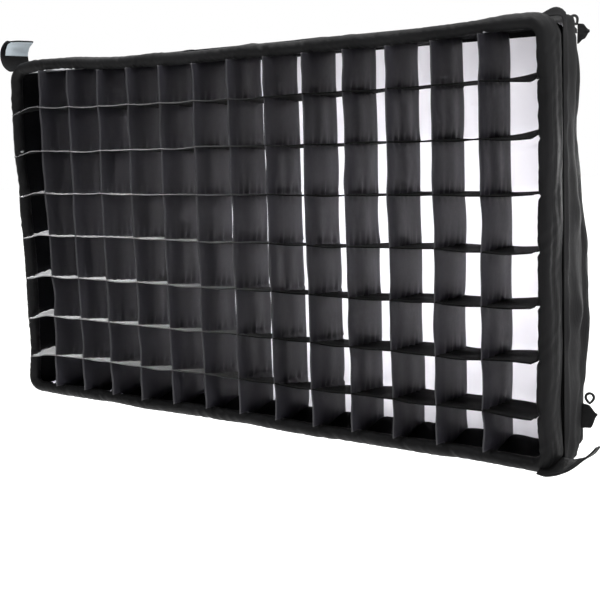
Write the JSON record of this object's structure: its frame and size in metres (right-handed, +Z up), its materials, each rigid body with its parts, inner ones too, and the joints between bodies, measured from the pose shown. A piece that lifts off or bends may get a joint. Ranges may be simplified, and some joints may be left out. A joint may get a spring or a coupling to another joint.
{
  "type": "fabric light control grid",
  "caption": "Collapsible black fabric egg-crate grid with rod-tensioned border, on a soft skirt with a white diffusion cloth that fits over a panel lamp.",
  "frame": {"origin": "middle of the rear opening, on the plane of the rear hem", "axes": "+X across the face to the right as seen from the front, +Y back towards the lamp, +Z up; the slats face -Y"},
  "size_m": [1.1533, 0.166, 0.663],
  "materials": {
    "skirt_nylon": "black coated nylon, gathered along its folds, low satin sheen",
    "grid_nylon": "black nylon slats and border, soft satin sheen",
    "sleeve_nylon": "black nylon sleeve and pull tabs, puckered along the seam",
    "diffusion_cloth": "white translucent diffusion cloth, soft wrinkles",
    "black_webbing": "black woven webbing and edging",
    "hook_and_loop": "black hook-and-loop tape",
    "elastic_cord": "black braided elastic",
    "woven_label": "blank pale grey-blue satin label",
    "rod_alloy": "satin aluminium tube",
    "connector_plastic": "moulded corner elbows",
    "shock_cord": "red elastic shock cord"
  },
  "bodies": {
    "softbox": {"skirt_top": "skirt_nylon", "skirt_bottom": "skirt_nylon", "skirt_left": "skirt_nylon", "skirt_right": "skirt_nylon", "diffusion_cloth": "diffusion_cloth", "diffuser_edging": "black_webbing", "loop_tape": "hook_and_loop", "front_hem": "black_webbing", "rear_hem": "black_webbing"},
    "grid": {"border_top": "grid_nylon", "border_bottom": "grid_nylon", "border_left": "grid_nylon", "border_right": "grid_nylon", "border_corners": "grid_nylon", "sleeve_top": "sleeve_nylon", "sleeve_bottom": "sleeve_nylon", "sleeve_left": "sleeve_nylon", "sleeve_right": "sleeve_nylon", "sleeve_corners": "sleeve_nylon", "rod_top_left": "rod_alloy", "rod_top_right": "rod_alloy", "rod_bottom_left": "rod_alloy", "rod_bottom_right": "rod_alloy", "rod_left": "rod_alloy", "rod_right": "rod_alloy", "rod_ferrules": "rod_alloy", "corner_elbows": "connector_plastic", "shock_cord": "shock_cord", "hook_tape": "hook_and_loop", "upright_slat_01": "grid_nylon", "upright_slat_02": "grid_nylon", "upright_slat_03": "grid_nylon", "upright_slat_04": "grid_nylon", "upright_slat_05": "grid_nylon", "upright_slat_06": "grid_nylon", "upright_slat_07": "grid_nylon", "upright_slat_08": "grid_nylon", "upright_slat_09": "grid_nylon", "upright_slat_10": "grid_nylon", "upright_slat_11": "grid_nylon", "upright_slat_12": "grid_nylon", "upright_slat_13": "grid_nylon", "cross_slat_1": "grid_nylon", "cross_slat_2": "grid_nylon", "cross_slat_3": "grid_nylon", "cross_slat_4": "grid_nylon", "cross_slat_5": "grid_nylon", "cross_slat_6": "grid_nylon", "cross_slat_7": "grid_nylon"},
    "upper_tab": {"pull_tab_upper": "sleeve_nylon", "tab_label": "woven_label"},
    "lower_tab": {"pull_tab_lower": "sleeve_nylon"},
    "strap_upper_left": {"strap_flap_upper_left": "black_webbing", "elastic_loop_upper_left": "elastic_cord"},
    "strap_upper_right": {"strap_flap_upper_right": "black_webbing", "elastic_loop_upper_right": "elastic_cord"},
    "strap_lower_left": {"strap_flap_lower_left": "black_webbing", "elastic_loop_lower_left": "elastic_cord"},
    "strap_lower_right": {"strap_flap_lower_right": "black_webbing", "elastic_loop_lower_right": "elastic_cord"}
  },
  "joints": [
    {"name": "grid_release", "type": "slide", "parent": "softbox", "child": "grid", "axis": [0, -1, 0], "range_m": [0, 0.12]},
    {"name": "upper_tab_fold", "type": "hinge", "parent": "grid", "child": "upper_tab", "pos_m": [-0.5395, -0.125, 0.2995], "axis": [0, 1, 0], "range_deg": [-60, 35]},
    {"name": "lower_tab_fold", "type": "hinge", "parent": "grid", "child": "lower_tab", "pos_m": [0.5395, -0.125, -0.2995], "axis": [0, 1, 0], "range_deg": [-30, 90]},
    {"name": "strap_upper_left_swing", "type": "hinge", "parent": "softbox", "child": "strap_upper_left", "pos_m": [-0.5265, -0.014, 0.29], "axis": [0, 0, 1], "range_deg": [-90, 70]},
    {"name": "strap_upper_right_swing", "type": "hinge", "parent": "softbox", "child": "strap_upper_right", "pos_m": [0.5265, -0.014, 0.29], "axis": [0, 0, 1], "range_deg": [-70, 90]},
    {"name": "strap_lower_left_swing", "type": "hinge", "parent": "softbox", "child": "strap_lower_left", "pos_m": [-0.5265, -0.014, -0.25], "axis": [0, 0, 1], "range_deg": [-90, 70]},
    {"name": "strap_lower_right_swing", "type": "hinge", "parent": "softbox", "child": "strap_lower_right", "pos_m": [0.5265, -0.014, -0.25], "axis": [0, 0, 1], "range_deg": [-70, 90]}
  ]
}
